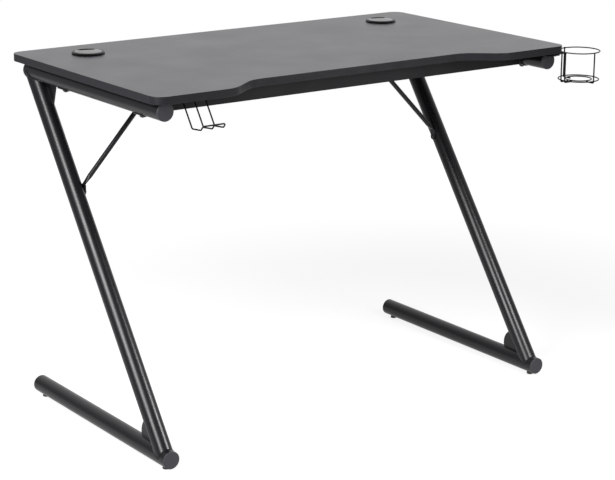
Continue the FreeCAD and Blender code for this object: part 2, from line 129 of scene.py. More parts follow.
class Wiring:
    """Short calls for adding and joining the nodes of one tree."""

    def __init__(self, tree: bpy.types.NodeTree) -> None:
        """Start on a tree, empty or not."""
        self.tree = tree

    def add(self, kind: str, given: Optional[Feeds] = None, **settings: object) -> bpy.types.Node:
        """Add a node.

        Args:
            kind: Blender's name of the node type.
            given: what feeds its inputs, by their name or place.
            settings: attributes to set on it first.

        Returns:
            The new node.
        """
        node = self.tree.nodes.new(kind)
        for name, value in settings.items():
            setattr(node, name, value)
        for socket, value in (given or {}).items():
            self.feed(node.inputs[socket], value)
        return node

    def feed(self, socket: Socket, value: Feed) -> None:
        """Feed an input.

        Args:
            socket: the input.
            value: an output to join to it, or a plain value to set it to.
        """
        if isinstance(value, bpy.types.NodeSocket):
            self.tree.links.new(value, socket)
        else:
            socket.default_value = value

    def calc(self, operation: str, first: Feed, second: Feed) -> Socket:
        """Result of one step of arithmetic."""
        return self.add("ShaderNodeMath", {0: first, 1: second}, operation=operation).outputs[0]

    def vector(self, operation: str, result: str, *values: Feed) -> Socket:
        """Result of one step of arithmetic on vectors, by the name of the output."""
        given = dict(enumerate(values))
        return self.add("ShaderNodeVectorMath", given, operation=operation).outputs[result]

    def shaded(self, color: Feed, level: Feed) -> Socket:
        """Colour made lighter or darker by a level."""
        given = {0: color, "Scale": level}
        return self.add("ShaderNodeVectorMath", given, operation="SCALE").outputs[0]

    def noise(self, place: Feed, scale: Feed, detail: float = 2.0, rough: float = 0.5) -> Socket:
        """Value of a noise pattern."""
        given = {"Vector": place, "Scale": scale, "Detail": detail, "Roughness": rough}
        return self.add("ShaderNodeTexNoise", given).outputs["Fac"]

    def spread(self, value: Feed, low: Feed, high: Feed, start: float = 0.3,
               end: float = 0.7) -> Socket:
        """Result that goes from low to high as a value goes from start to end."""
        given = {"Value": value, "From Min": start, "From Max": end, "To Min": low, "To Max": high}
        return self.add("ShaderNodeMapRange", given).outputs["Result"]

    def blend(self, share: Feed, first: Feed, second: Feed, mix: Mix = Mix.COLOR) -> Socket:
        """Mix two colours or values.

        Args:
            share: share of the second.
            first: the first.
            second: the second.
            mix: which of the two kinds they are.

        Returns:
            The output with the mix.
        """
        kind, at_first, at_second, result = mix.value
        given = {"Factor": share, at_first: first, at_second: second}
        return self.add("ShaderNodeMix", given, data_type=kind).outputs[result]


class Effects:
    """Shader node groups that several finishes share, each built once."""

    # Scale of a group's second pattern, against that of its first one.
    GLOSS_SCALE = 0.37
    FINE_SCALE = 3.1
    FIBRE_SCALE = 7.0

    def __init__(self) -> None:
        """Build all the groups."""
        self.tone = self._tone()
        self.relief = self._relief()
        self.grain = self._grain()

    @staticmethod
    def _group(name: str, inputs: Dict[str, str], outputs: Dict[str, str]
               ) -> Tuple[Wiring, bpy.types.NodeOutputs, bpy.types.NodeInputs]:
        """Make an empty group with named sockets.

        Args:
            name: name of the group.
            inputs: kinds of its inputs by name.
            outputs: kinds of its outputs by name.

        Returns:
            The wiring of the group, the values that it is given and the ones that it makes.
        """
        tree = bpy.data.node_groups.new(name, "ShaderNodeTree")
        for way, kinds in (("INPUT", inputs), ("OUTPUT", outputs)):
            for socket, kind in kinds.items():
                tree.interface.new_socket(socket, in_out=way, socket_type="NodeSocket" + kind)
        wiring = Wiring(tree)
        return wiring, wiring.add("NodeGroupInput").outputs, wiring.add("NodeGroupOutput").inputs

    def _tone(self) -> bpy.types.NodeTree:
        """Build a cloudy change of colour and gloss over a surface.

        Returns:
            The group.
        """
        wiring, given, made = self._group(
            "mottled_tone",
            {"Vector": "Vector", "Color": "Color", "Spread": "Float", "Scale": "Float",
             "Roughness": "Float", "Gloss Spread": "Float"},
            {"Color": "Color", "Roughness": "Float"})
        clouds = wiring.noise(given["Vector"], given["Scale"], detail=4.0, rough=0.6)
        low = wiring.calc("SUBTRACT", 1.0, given["Spread"])
        high = wiring.calc("ADD", 1.0, given["Spread"])
        wiring.feed(made["Color"], wiring.shaded(given["Color"], wiring.spread(clouds, low, high)))
        wide = wiring.calc("MULTIPLY", given["Scale"], self.GLOSS_SCALE)
        shift = wiring.spread(wiring.noise(given["Vector"], wide, detail=3.0), -1.0, 1.0)
        change = wiring.calc("MULTIPLY", shift, given["Gloss Spread"])
        wiring.feed(made["Roughness"], wiring.calc("ADD", given["Roughness"], change))
        return wiring.tree

    def _relief(self) -> bpy.types.NodeTree:
        """Build the fine pebbled relief of a coat or a moulded face.

        Returns:
            The group.
        """
        wiring, given, made = self._group(
            "pebbled_relief", {"Vector": "Vector", "Scale": "Float", "Fine Share": "Float"},
            {"Height": "Float"})
        coarse = wiring.noise(given["Vector"], given["Scale"], detail=1.0)
        finer = wiring.calc("MULTIPLY", given["Scale"], self.FINE_SCALE)
        fine = wiring.calc("MULTIPLY", wiring.noise(given["Vector"], finer), given["Fine Share"])
        wiring.feed(made["Height"], wiring.calc("ADD", coarse, fine))
        return wiring.tree

    def _grain(self) -> bpy.types.NodeTree:
        """Build long fine streaks along X, as values about 0.5.

        Returns:
            The group.
        """
        wiring, given, made = self._group(
            "long_grain", {"Vector": "Vector", "Along": "Float", "Across": "Float"},
            {"Streak": "Float", "Fibre": "Float"})
        stretch = wiring.add("ShaderNodeCombineXYZ", {
            "X": given["Along"], "Y": given["Across"], "Z": given["Across"]})
        run = wiring.vector("MULTIPLY", "Vector", given["Vector"], stretch.outputs[0])
        wiring.feed(made["Streak"], wiring.noise(run, 1.0, detail=4.0, rough=0.55))
        wiring.feed(made["Fibre"], wiring.noise(run, self.FIBRE_SCALE, rough=0.6))
        return wiring.tree


class Palette(Wiring):
    """Wiring of one material, with its shader and the shared groups at hand."""

    def __init__(self, tree: bpy.types.NodeTree, effects: Effects) -> None:
        """Start on the tree of a new material.

        Args:
            tree: the tree, which already holds the shader.
            effects: the shared groups.
        """
        super().__init__(tree)
        self.effects = effects
        self.shader = tree.nodes["Principled BSDF"]
        self.place = self.add("ShaderNodeTexCoord").outputs["Object"]

    def shade(self, name: str, value: Feed) -> None:
        """Feed one of the shader's inputs."""
        self.feed(self.shader.inputs[name], value)

    def use(self, group: bpy.types.NodeTree, given: Feeds) -> bpy.types.NodeOutputs:
        """Outputs of a shared group, placed on this surface and fed its other inputs."""
        given = {"Vector": self.place, **given}
        return self.add("ShaderNodeGroup", given, node_tree=group).outputs


@dataclass(frozen=True)
class Finish:
    """One finish: its plain values and how far its patterns change them."""

    slot: Slot
    color: Rgb
    roughness: float
    specular: float = 0.5
    metallic: float = 0.0
    tone_spread: float = 0.1
    tone_scale: float = 40.0
    gloss_spread: float = 0.04
    relief_scale: float = 900.0
    relief_depth: float = 0.02 * MM
    relief_strength: float = 0.5
    fine_share: float = 0.3

    def build(self, effects: Effects) -> bpy.types.Material:
        """Make the material.

        Args:
            effects: the shared node groups.

        Returns:
            The material, named for its slot.
        """
        material = bpy.data.materials.new(self.slot.value)
        material.use_nodes = True
        material.diffuse_color = (*self.color, 1)
        palette = Palette(material.node_tree, effects)
        palette.shade("Metallic", self.metallic)
        palette.shade("Specular IOR Level", self.specular)
        self._pattern(palette)
        self._relief(palette)
        return material

    def _pattern(self, palette: Palette) -> None:
        """Wire the colour and gloss that change over the surface.

        Args:
            palette: wiring of the material.
        """
        tone = self._tone(palette)
        palette.shade("Base Color", tone["Color"])
        palette.shade("Roughness", tone["Roughness"])

    def _tone(self, palette: Palette) -> bpy.types.NodeOutputs:
        """Colour and roughness of this finish, a little cloudy."""
        return palette.use(palette.effects.tone, {
            "Color": (*self.color, 1), "Spread": self.tone_spread, "Scale": self.tone_scale,
            "Roughness": self.roughness, "Gloss Spread": self.gloss_spread})

    def _relief(self, palette: Palette) -> None:
        """Wire the pebbled relief into the shader's normal.

        Args:
            palette: wiring of the material.
        """
        pebbles = palette.use(palette.effects.relief, {
            "Scale": self.relief_scale, "Fine Share": self.fine_share})
        bump = palette.add("ShaderNodeBump", {
            "Strength": self.relief_strength, "Distance": self.relief_depth,
            "Height": pebbles["Height"]})
        palette.shade("Normal", bump.outputs["Normal"])


@dataclass(frozen=True)
class LaminateFinish(Finish):
    """Board finish: a grained sheet on top, backing paper below and chips in the cut holes."""

    backing: Rgb = (0.03, 0.03, 0.032)
    chip_pale: Rgb = (0.42, 0.31, 0.19)
    chip_dark: Rgb = (0.22, 0.15, 0.09)
    grain_along: float = 3.0
    grain_across: float = 170.0
    grain_spread: float = 0.09
    fibre_spread: float = 0.06
    backing_roughness: float = 0.6
    chip_scale: float = 420.0
    flat_limit: float = 0.5

    def _pattern(self, palette: Palette) -> None:
        """Wire the three surfaces, told apart by which way a face looks.

        Args:
            palette: wiring of the material.
        """
        normal = palette.add("ShaderNodeNewGeometry").outputs["True Normal"]
        facing = palette.add("ShaderNodeSeparateXYZ", {0: normal})
        topmost = palette.calc("GREATER_THAN", facing.outputs["Z"], self.flat_limit)
        lowest = palette.calc("LESS_THAN", facing.outputs["Z"], -self.flat_limit)
        tone = self._tone(palette)
        sheet = palette.shaded(tone["Color"], self._grain(palette))
        rest = palette.blend(lowest, self._chips(palette), (*self.backing, 1))
        palette.shade("Base Color", palette.blend(topmost, rest, sheet))
        palette.shade("Roughness", palette.blend(
            topmost, self.backing_roughness, tone["Roughness"], Mix.VALUE))

    def _grain(self, palette: Palette) -> Socket:
        """Wire the level of the printed grain.

        Args:
            palette: wiring of the material.

        Returns:
            The output with a level about 1.
        """
        grain = palette.use(palette.effects.grain, {
            "Along": self.grain_along, "Across": self.grain_across})
        streak = palette.spread(grain["Streak"], 1 - self.grain_spread, 1 + self.grain_spread)
        fibre = palette.spread(grain["Fibre"], 1 - self.fibre_spread, 1 + self.fibre_spread)
        return palette.calc("MULTIPLY", streak, fibre)

    def _chips(self, palette: Palette) -> Socket:
        """Colour of the bare chips."""
        chips = palette.add("ShaderNodeTexVoronoi", {
            "Vector": palette.place, "Scale": self.chip_scale}).outputs["Distance"]
        return palette.blend(chips, (*self.chip_pale, 1), (*self.chip_dark, 1))


FINISHES: Tuple[Finish, ...] = (
    LaminateFinish(Slot.LAMINATE, (0.0335, 0.0305, 0.0495), 0.35, specular=0.66, tone_spread=0.03,
                   tone_scale=25.0, gloss_spread=0.02, relief_scale=700.0, relief_depth=0.03 * MM,
                   relief_strength=0.3),
    Finish(Slot.EDGING, (0.0094, 0.0091, 0.0116), 0.36, specular=0.26, tone_spread=0.08,
           tone_scale=90.0, relief_scale=600.0, relief_strength=0.3),
    Finish(Slot.GROMMET, (0.0085, 0.008, 0.013), 0.22, specular=1.0, tone_spread=0.05,
           tone_scale=60.0, relief_scale=1400.0, relief_strength=0.1),
    Finish(Slot.SLEEVE, (0.0045, 0.0044, 0.006), 0.4, specular=0.4, tone_spread=0.05,
           tone_scale=60.0, relief_scale=1400.0, relief_strength=0.2),
    Finish(Slot.CAP, (0.0172, 0.0164, 0.022), 0.55, tone_spread=0.08, tone_scale=120.0,
           relief_scale=1300.0, relief_depth=0.04 * MM),
    Finish(Slot.GLIDE, (0.012, 0.012, 0.012), 0.5, tone_scale=150.0, relief_scale=1500.0),
    Finish(Slot.COAT, (0.0045, 0.0044, 0.0056), 0.31, specular=0.31, tone_scale=35.0,
           relief_scale=800.0, relief_depth=0.015 * MM, relief_strength=0.03),
    Finish(Slot.WIRE, (0.005, 0.005, 0.006), 0.38, specular=0.12, tone_scale=200.0,
           relief_scale=1500.0, relief_depth=0.01 * MM, relief_strength=0.06),
    Finish(Slot.BLACK_STEEL, (0.03, 0.03, 0.032), 0.32, metallic=0.6, tone_spread=0.12,
           tone_scale=300.0, relief_scale=2000.0, relief_depth=0.01 * MM),
    Finish(Slot.ZINC, (0.55, 0.56, 0.58), 0.34, metallic=1.0, tone_spread=0.08, tone_scale=400.0,
           relief_scale=2400.0, relief_depth=0.01 * MM),
)


class Shop:
    """The finishes by slot, and the calls that put them on pieces."""

    def __init__(self, frame: Dict[str, object]) -> None:
        """Build every finish once.

        Args:
            frame: the loaded frame.
        """
        self.nodes: Dict[str, bpy.types.Object] = frame["nodes"]
        effects = Effects()
        self.materials = {finish.slot: finish.build(effects) for finish in FINISHES}

    def paint(self, obj: bpy.types.Object, *slots: Slot) -> None:
        """Give an object its materials.

        Args:
            obj: the object.
            slots: its finishes, the first one for all faces that name no other.
        """
        obj.data.materials.clear()
        for slot in slots:
            obj.data.materials.append(self.materials[slot])

    def dress(self, slot: Slot, *names: str) -> None:
        """Finish CAD nodes that keep their shape.

        Args:
            slot: their finish.
            names: the nodes.
        """
        for name in names:
            self.paint(self.nodes[name], slot)
            LOG.info("dressed %s as %s", name, slot.value)

    def piece(self, name: str, mesh: Mesh, body: str, *slots: Slot) -> bpy.types.Object:
        """Turn a finished mesh into a piece that rides on a body.

        Args:
            name: name of the piece.
            mesh: its geometry, in the part's frame.
            body: CAD body that it moves with.
            slots: its finishes, the first one for all faces that name no other.

        Returns:
            The new object.
        """
        bmesh.ops.recalc_face_normals(mesh, faces=mesh.faces)
        data = bpy.data.meshes.new(name)
        mesh.to_mesh(data)
        mesh.free()
        data.shade_smooth()
        data.set_sharp_from_angle(angle=SHARP_EDGE)
        obj = bpy.data.objects.new(name, data)
        bpy.context.scene.collection.objects.link(obj)
        self.paint(obj, *slots)
        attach(obj, body)
        LOG.info("built %s on %s", name, body)
        return obj


def full_turn(count: int) -> List[float]:
    """Even angles all the way round."""
    return [math.tau * i / count for i in range(count)]


def polar(radius: float, angle: float, z: float) -> Vector:
    """Point at a radius and an angle about the Z axis."""
    return Vector((radius * math.cos(angle), radius * math.sin(angle), z))


def flank(z: float, angle: float, pitch: float) -> float:
    """Level of a rolled thread at a place, from 0 in its root to 1 on its crest."""
    phase = (z / pitch - angle / math.tau) % 1.0
    return 1 - abs(2 * phase - 1)


def loft(mesh: Mesh, rings: Sequence[Ring], material: int = 0, closed: bool = False) -> None:
    """Skin a row of rings, with both ends capped unless the row is closed.

    Args:
        mesh: mesh to add to.
        rings: the rings, all with the same number of points.
        material: place of the faces' finish among those of the piece.
        closed: whether the row runs round to its start.
    """
    rows = [[mesh.verts.new(point) for point in ring] for ring in rings]
    count = len(rows[0])
    for low, high in zip(rows, rows[1:] + rows[:1] if closed else rows[1:]):
        for i in range(count):
            j = (i + 1) % count
            mesh.faces.new((low[i], low[j], high[j], high[i])).material_index = material
    if closed:
        return
    for row in (rows[0], rows[-1]):
        middle = mesh.verts.new(sum((vert.co for vert in row), Vector()) / count)
        for i in range(count):
            mesh.faces.new((row[i], row[(i + 1) % count], middle)).material_index = material


def islands(obj: bpy.types.Object) -> List[Box]:
    """Boxes of the separate solids in a CAD node.

    Args:
        obj: the node's object, which is only read.

    Returns:
        Lowest and highest corner of each solid.
    """
    mesh = bmesh.new()
    mesh.from_mesh(obj.data)
    bmesh.ops.remove_doubles(mesh, verts=mesh.verts, dist=SAME_POINT)
    left = set(mesh.verts)
    boxes = []
    while left:
        found = [left.pop()]
        low, high = found[0].co.copy(), found[0].co.copy()
        while found:
            vert = found.pop()
            low = Vector(map(min, low, vert.co))
            high = Vector(map(max, high, vert.co))
            near = {edge.other_vert(vert) for edge in vert.link_edges} & left
            left -= near
            found.extend(near)
        boxes.append((low, high))
    mesh.free()
    return sorted(boxes, key=lambda box: tuple(box[0]))


@dataclass(frozen=True)
class Screw:
    """A pan-headed screw with a drive recess and a rolled thread."""

    head_height: float
    shank: float
    recess: Recess
    recess_width: float
    recess_depth: float
    pitch: float
    arm_share: float = 0.32
    floor_share: float = 0.7
    wall_share: float = 0.93
    wall_depth: float = 0.8
    rim_share: float = 1.08
    head_rows: int = 5
    thread_share: float = 0.8
    rows_per_turn: int = 4
    fewest_rows: int = 2
    tip_share: float = 0.6

    def _outline(self) -> List[Tuple[float, float]]:
        """Lay out the recess.

        Returns:
            Points round its edge, seen along the screw.
        """
        half = self.recess_width / 2
        if self.recess is Recess.HEX:
            corners = [(half * math.cos(a), half * math.sin(a)) for a in full_turn(6)]
        else:
            arm = half * self.arm_share
            quarter = [(half, -arm), (half, arm), (arm, arm)]
            corners = []
            for _ in range(4):
                corners += quarter
                quarter = [(-y, x) for x, y in quarter]
        steps = self.recess.value
        points = []
        for (x, y), (u, v) in zip(corners, corners[1:] + corners[:1]):
            points += [(x + (u - x) * k / steps, y + (v - y) * k / steps) for k in range(steps)]
        return points

    def rings(self, head: float, length: float) -> List[Ring]:
        """Lay out the whole screw, from the floor of its recess to its tip.

        Args:
            head: diameter of the head.
            length: length of the shank.

        Returns:
            Rings about the Z axis, with the seat at z = 0, the head below it and the shank above.
        """
        plan = self._outline()
        angles = [math.atan2(y, x) for x, y in plan]
        return self._head(head / 2, plan, angles) + self._thread(length, angles)

    def _head(self, crown: float, plan: List[Tuple[float, float]],
              angles: List[float]) -> List[Ring]:
        """Lay out the recess and the domed head.

        Args:
            crown: radius of the head.
            plan: points round the recess.
            angles: their angles about the axis.

        Returns:
            Rings from the floor of the recess to the edge of the seat.
        """
        dome = (crown ** 2 + self.head_height ** 2) / (2 * self.head_height)

        def face(radius: float) -> float:
            """Height of the domed face at a radius."""
            return -(self.head_height - dome + math.sqrt(dome ** 2 - radius ** 2))

        half = self.recess_width / 2
        rings = []
        for share, depth in ((self.floor_share, 1.0), (self.wall_share, self.wall_depth)):
            z = face(half) + self.recess_depth * depth
            rings.append([Vector((x * share, y * share, z)) for x, y in plan])
        rings.append([Vector((x, y, face(math.hypot(x, y)))) for x, y in plan])
        inner = half * self.rim_share
        for i in range(self.head_rows + 1):
            radius = inner + (crown - inner) * math.sin(i / self.head_rows * math.pi / 2)
            rings.append([polar(radius, a, face(min(radius, crown))) for a in angles])
        return rings

    def _thread(self, length: float, angles: List[float]) -> List[Ring]:
        """Lay out the threaded shank.

        Args:
            length: its length.
            angles: angles of a ring's points about the axis.

        Returns:
            Rings from the seat to the tip.
        """
        major = self.shank / 2
        minor = major * self.thread_share
        rings = [[polar(major, a, 0.0) for a in angles]]
        rows = max(self.fewest_rows, round(length / self.pitch * self.rows_per_turn))
        for i in range(1, rows + 1):
            z = length * i / rows
            fade = min(1.0, (length - z) / self.pitch + self.tip_share)
            rings.append([polar((minor + (major - minor) * flank(z, a, self.pitch)) * fade, a, z)
                          for a in angles])
        return rings

    def add(self, mesh: Mesh, box: Box) -> None:
        """Put a screw where a CAD screw stands, its head down, to the front or to mid width.

        Args:
            mesh: mesh to add to.
            box: box of the CAD screw.
        """
        low, high = box
        size = high - low
        axis = max(range(3), key=lambda i: size[i])
        middle = (low + high) / 2
        from_low = axis != 0 or middle.x > 0
        way = Vector((0, 0, 0))
        way[axis] = 1 if from_low else -1
        seat = middle.copy()
        seat[axis] = (low[axis] if from_low else high[axis]) + way[axis] * self.head_height
        turn = way.to_track_quat("Z", "Y").to_matrix()
        rings = self.rings(size[(axis + 1) % 3], size[axis] - self.head_height)
        loft(mesh, [[seat + turn @ point for point in ring] for ring in rings])


def fit_screws(shop: Shop, name: str, node: str, screw: Screw) -> None:
    """Make a piece of full screws in place of a node of plain ones.

    Args:
        shop: the finishes.
        name: name of the piece.
        node: the CAD node.
        screw: the kind of screw.
    """
    mesh = bmesh.new()
    for box in islands(shop.nodes[node]):
        screw.add(mesh, box)
    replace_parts(shop.piece(name, mesh, DESK, Slot.BLACK_STEEL), node)


@dataclass(frozen=True)
class Bead:
    """A weld bead with the ripples that its passes leave."""

    radius: float = 1.5 * MM
    ripple: float = 2.2 * MM
    depth: float = 0.16
    sides: int = 7
    rows_per_ripple: int = 4
    fewest_ripples: int = 2
    end_share: float = 0.55
    steepest: float = 0.1

    def add(self, mesh: Mesh, path: Sequence[Vector], closed: bool = False) -> None:
        """Sweep the bead along a path.

        Args:
            mesh: mesh to add to.
            path: points to follow.
            closed: whether the path runs round to its start.
        """
        points = self._even(list(path) + ([path[0]] if closed else []))
        if closed:
            points = points[:-1]
        count = len(points)
        side = UP.copy()
        rings = []
        for i, point in enumerate(points):
            before = points[i - 1] if closed or i else points[0]
            after = points[(i + 1) % count] if closed or i < count - 1 else points[-1]
            way = (after - before).normalized()
            side = side - way * side.dot(way)
            if side.length < self.steepest:
                side = way.orthogonal()
            side.normalize()
            other = way.cross(side)
            radius = self.radius * self._swell(i)
            if not closed:
                radius *= self._taper(min(i, count - 1 - i))
            rings.append([point + side * radius * math.cos(a) + other * radius * math.sin(a)
                          for a in full_turn(self.sides)])
        loft(mesh, rings, closed=closed)

    def _swell(self, row: int) -> float:
        """Share of the full radius that a row's place in its ripple leaves."""
        return 1 - self.depth * (1 + math.cos(math.tau * row / self.rows_per_ripple)) / 2

    def _taper(self, row: int) -> float:
        """Share of the full radius at so many rows from an end."""
        return min(1.0, self.end_share + (1 - self.end_share) * row / self.rows_per_ripple)

    def _even(self, path: List[Vector]) -> List[Vector]:
        """Follow a path at an even step.

        Args:
            path: its points.

        Returns:
            Points for a whole number of ripples.
        """
        lengths = [0.0]
        for a, b in zip(path, path[1:]):
            lengths.append(lengths[-1] + (b - a).length)
        ripples = max(self.fewest_ripples, round(lengths[-1] / self.ripple))
        steps = ripples * self.rows_per_ripple
        points, at = [], 0
        for i in range(steps + 1):
            want = lengths[-1] * i / steps
            while at < len(path) - 2 and lengths[at + 1] < want:
                at += 1
            span = max(lengths[at + 1] - lengths[at], SAME_POINT)
            points.append(path[at].lerp(path[at + 1], min(1.0, (want - lengths[at]) / span)))
        return points


@dataclass(frozen=True)
class Spot:
    """A small rounded spot of weld where two wires cross, a little uneven."""

    radius: float = 1.7 * MM
    unevenness: float = 0.06
    waves_across: float = 5.0
    waves_up: float = 3.0
    fineness: int = 2

    def add(self, mesh: Mesh, centre: Vector, shares: Point) -> None:
        """Put down one spot.

        Args:
            mesh: mesh to add to.
            centre: its centre.
            shares: share of the radius along each axis.
        """
        made = bmesh.ops.create_icosphere(mesh, subdivisions=self.fineness, radius=1.0)
        for vert in made["verts"]:
            phase = self.waves_across * vert.co.x + self.waves_up * vert.co.z
            reach = self.radius * (1 + self.unevenness * math.sin(phase))
            vert.co = centre + Vector([vert.co[i] * shares[i] * reach for i in range(3)])


@dataclass
class Desktop:
    """Board, edging and the two cable grommets."""

    shop: Shop
    screw: Screw = Screw(head_height=2.6 * MM, shank=4 * MM, recess=Recess.CROSS,
                         recess_width=4.6 * MM, recess_depth=1.7 * MM, pitch=1.8 * MM)

    def build(self) -> None:
        """Make the screws that hold the board."""
        fit_screws(self.shop, "board_screws", "desktop_screws", self.screw)

    def dress(self) -> None:
        """Finish the CAD nodes."""
        self.shop.dress(Slot.LAMINATE, "desktop_board")
        self.shop.dress(Slot.EDGING, "edge_band")
        for side in SIDES:
            self.shop.dress(Slot.GROMMET, "grommet_cap_" + side)
            self.shop.dress(Slot.SLEEVE, "grommet_sleeve_" + side)


@dataclass(frozen=True)
class Glide:
    """A levelling glide: a fluted pad, hollow underneath, on a threaded stem."""

    height: float = 4.7 * MM
    chamfer: float = 0.8 * MM
    taper: float = 0.4 * MM
    shoulder: float = 1.0 * MM
    crown_drop: float = 0.4 * MM
    crown_width: float = 0.5 * MM
    dip_share: float = 0.62
    dip_floor_share: float = 0.4
    dip_depth: float = 0.35 * MM
    dip_slope: float = 0.3 * MM
    flute_depth: float = 0.45 * MM
    flutes: int = 18
    pad_points: int = 72
    stem: float = 3 * MM
    collar: float = 0.2 * MM
    sunk: float = 0.2 * MM
    pitch: float = 1.0 * MM
    root_share: float = 0.84
    stem_points: int = 18
    rows_per_turn: int = 4

    def add(self, mesh: Mesh, box: Box) -> None:
        """Put a glide where a CAD glide stands.

        Args:
            mesh: mesh to add to.
            box: box of the CAD glide.
        """
        low, high = box
        centre = Vector(((low.x + high.x) / 2, (low.y + high.y) / 2, low.z))
        forms = (self._pad((high.x - low.x) / 2), self._thread(high.z - low.z))
        for material, rings in enumerate(forms):
            loft(mesh, [[centre + point for point in ring] for ring in rings], material)

    def _pad(self, radius: float) -> List[Ring]:
        """Lay out the pad.

        Args:
            radius: its radius.

        Returns:
            Rings from the dip underneath to the collar round the stem.
        """
        dip = radius * self.dip_share
        edge = radius - self.chamfer
        top = self.height
        below = ((dip * self.dip_floor_share, self.dip_depth), (dip, self.dip_depth),
                 (dip + self.dip_slope, 0.0), (edge, 0.0))
        fluted = ((radius, self.chamfer), (radius - self.taper, top - self.shoulder),
                  (edge, top - self.crown_drop))
        above = ((edge - self.crown_width, top), (self.stem + self.collar, top))
        rings = []
        for profile, deep in ((below, 0.0), (fluted, self.flute_depth), (above, 0.0)):
            for reach, z in profile:
                rings.append([polar(reach - deep * max(0.0, math.cos(self.flutes * a)) ** 2, a, z)
                              for a in full_turn(self.pad_points)])
        return rings

    def _thread(self, height: float) -> List[Ring]:
        """Lay out the stem.

        Args:
            height: height of the whole glide.

        Returns:
            Rings from a little inside the pad to the stem's end.
        """
        length = height - self.height
        rows = round(length / self.pitch * self.rows_per_turn)
        rings = []
        for i in range(rows + 1):
            z = self.height - self.sunk + (length + self.sunk) * i / rows
            ring = []
            for a in full_turn(self.stem_points):
                share = self.root_share + (1 - self.root_share) * flank(z, a, self.pitch)
                ring.append(polar(self.stem * share, a, z))
            rings.append(ring)
        return rings


@dataclass
class SideFrame:
    """One Z-shaped frame with its caps, glides and welds."""

    shop: Shop
    side: str
    foot_setback: float = 19.6 * MM
    top_setback: float = 9.2 * MM
    joint_points: int = 96
    bead: Bead = Bead()
    fine_bead: Bead = Bead(radius=1.1 * MM, ripple=1.9 * MM)
    glide: Glide = Glide()
    radius: float = field(init=False)
    leg_top: Vector = field(init=False)
    leg_foot: Vector = field(init=False)
    leg_way: Vector = field(init=False)

    def __post_init__(self) -> None:
        """Read the tubes' places from the frame."""
        top_low, top_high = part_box("top_tube_" + self.side)
        foot_low, foot_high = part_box("foot_tube_" + self.side)
        self.radius = (top_high.z - top_low.z) / 2
        middle = (top_low + top_high) / 2
        self.leg_top = Vector((middle.x, top_high.y - self.top_setback, middle.z))
        foot_z = (foot_low.z + foot_high.z) / 2
        self.leg_foot = Vector((middle.x, foot_low.y + self.foot_setback, foot_z))
        self.leg_way = (self.leg_top - self.leg_foot).normalized()

    def _joint(self, tube_z: float, sign: int) -> Ring:
        """Follow the curve where the leg meets a tube.

        Args:
            tube_z: height of the tube's axis.
            sign: 1 where the leg stands on the tube, -1 where it hangs below.

        Returns:
            Points round the joint.
        """
        other = self.leg_way.cross(ACROSS)
        points = []
        for a in full_turn(self.joint_points):
            start = self.leg_foot + (ACROSS * math.cos(a) + other * math.sin(a)) * self.radius
            z = tube_z + sign * self.radius * abs(math.sin(a))
            points.append(start + self.leg_way * ((z - start.z) / self.leg_way.z))
        return points

    def _gusset_lines(self, node: str, tube_z: float, sign: int) -> List[Ring]:
        """Follow the straight welds on both faces of a gusset, along its tube and the leg.

        Args:
            node: the gusset's node.
            tube_z: height of the tube's axis.
            sign: 1 where the leg stands on the tube, -1 where it hangs below.

        Returns:
            Two lines for each face.
        """
        low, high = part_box(node)
        lines = []
        for x in (low.x, high.x):
            aside = ACROSS * (x - self.leg_top.x)
            reach = math.sqrt(self.radius ** 2 - aside.x ** 2)
            z = tube_z + sign * reach
            lines.append([Vector((x, low.y + self.bead.radius, z)),
                          Vector((x, high.y - self.bead.radius, z))])
            out = self.leg_way.cross(ACROSS) * (reach * sign)
            line = []
            for height in (low.z, high.z):
                share = (height - self.leg_foot.z - out.z) / self.leg_way.z
                line.append(self.leg_foot + self.leg_way * share + out + aside)
            lines.append(line)
        return lines

    def build(self) -> None:
        """Make the welds and the glides."""
        corners = (("upper_gusset_", self.leg_top.z, -1), ("lower_gusset_", self.leg_foot.z, 1))
        mesh = bmesh.new()
        for _, tube_z, sign in corners:
            self.bead.add(mesh, self._joint(tube_z, sign), closed=True)
        for gusset, tube_z, sign in corners:
            for line in self._gusset_lines(gusset + self.side, tube_z, sign):
                self.fine_bead.add(mesh, line)
        self.shop.piece("frame_welds_" + self.side, mesh, DESK, Slot.COAT)
        for end in ENDS:
            self._fit_glide("glide_%s_%s" % (end, self.side))

    def _fit_glide(self, node: str) -> None:
        """Make a full glide in place of a plain one.

        Args:
            node: the CAD node, which is also the name of its body.
        """
        mesh = bmesh.new()
        self.glide.add(mesh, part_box(node))
        piece = self.shop.piece(node + "_pad", mesh, node, Slot.GLIDE, Slot.ZINC)
        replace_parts(piece, node)

    def dress(self) -> None:
        """Finish the CAD nodes."""
        for part in ("top_tube_", "leg_tube_", "foot_tube_", "upper_gusset_", "lower_gusset_"):
            self.shop.dress(Slot.COAT, part + self.side)
        for part in ("top", "foot"):
            self.shop.dress(Slot.CAP, *("%s_cap_%s_%s" % (part, end, self.side) for end in ENDS))


